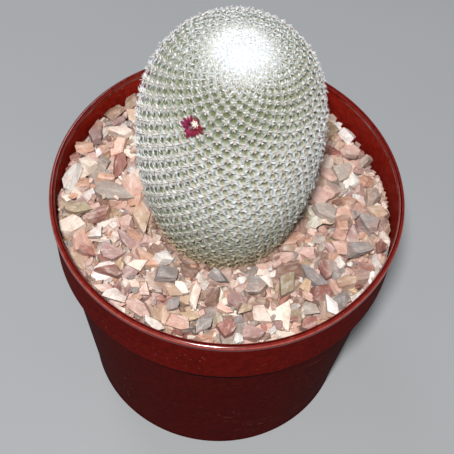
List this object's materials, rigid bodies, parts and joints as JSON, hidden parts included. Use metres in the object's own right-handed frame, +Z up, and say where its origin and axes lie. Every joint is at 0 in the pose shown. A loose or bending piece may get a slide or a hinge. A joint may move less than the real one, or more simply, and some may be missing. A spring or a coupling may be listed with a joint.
{
  "type": "potted mammillaria",
  "caption": "Short columnar cactus with flat combs of white spines and one small magenta flower, in a round plastic pot dressed with crushed stone.",
  "frame": {"origin": "centre of the pot's underside, on the surface that the pot stands on", "axes": "+Z up along the pot's axis, -Y towards the viewer of the picture, +X to the viewer's right"},
  "size_m": [0.1396, 0.14, 0.2076],
  "materials": {
    "pot": "smooth moulded red-brown plastic with a soft gloss",
    "soil": "dry crumbly potting soil",
    "stones": "matt broken stone in pink, cream, grey and brown",
    "cactus": "grey-green skin under a close coat of white spines",
    "flower": "soft matt magenta petals",
    "stamens": "matt cream"
  },
  "bodies": {
    "root": {"pot": "pot", "soil": "soil", "stones": "stones", "cactus": "cactus", "flower": "flower", "stamens": "stamens"}
  },
  "joints": []
}
